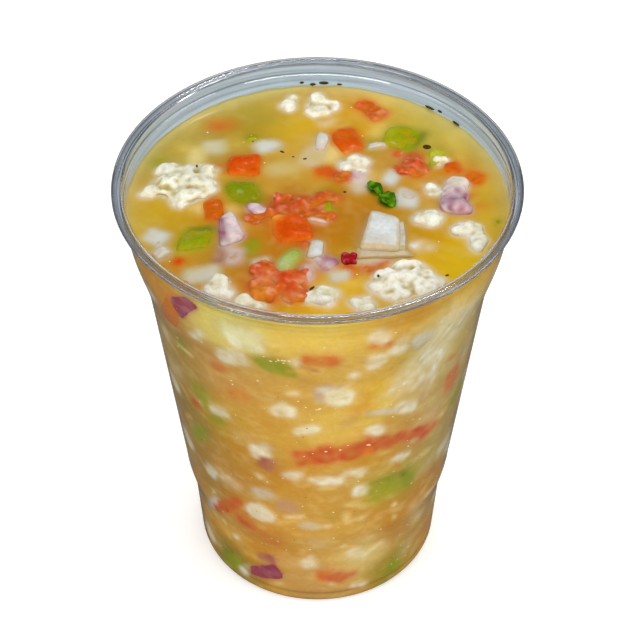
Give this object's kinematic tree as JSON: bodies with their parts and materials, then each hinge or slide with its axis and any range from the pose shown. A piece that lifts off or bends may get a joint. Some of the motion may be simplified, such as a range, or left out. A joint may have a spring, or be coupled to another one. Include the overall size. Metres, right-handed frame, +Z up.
{
  "type": "cup of conch salad",
  "caption": "Clear flared cold cup with a rolled rim, filled near the brim with a chopped conch, pepper, tomato and onion salad in citrus juice.",
  "frame": {"origin": "middle of the foot ring, on the surface that the cup stands on", "axes": "+Z up along the cup's axis, -Y towards the side that the picture shows"},
  "size_m": [0.098, 0.098, 0.12],
  "materials": {
    "clear_plastic": "clear gloss",
    "salad": "wet"
  },
  "bodies": {
    "root": {"cup": "clear_plastic", "salad": "salad"}
  },
  "joints": []
}
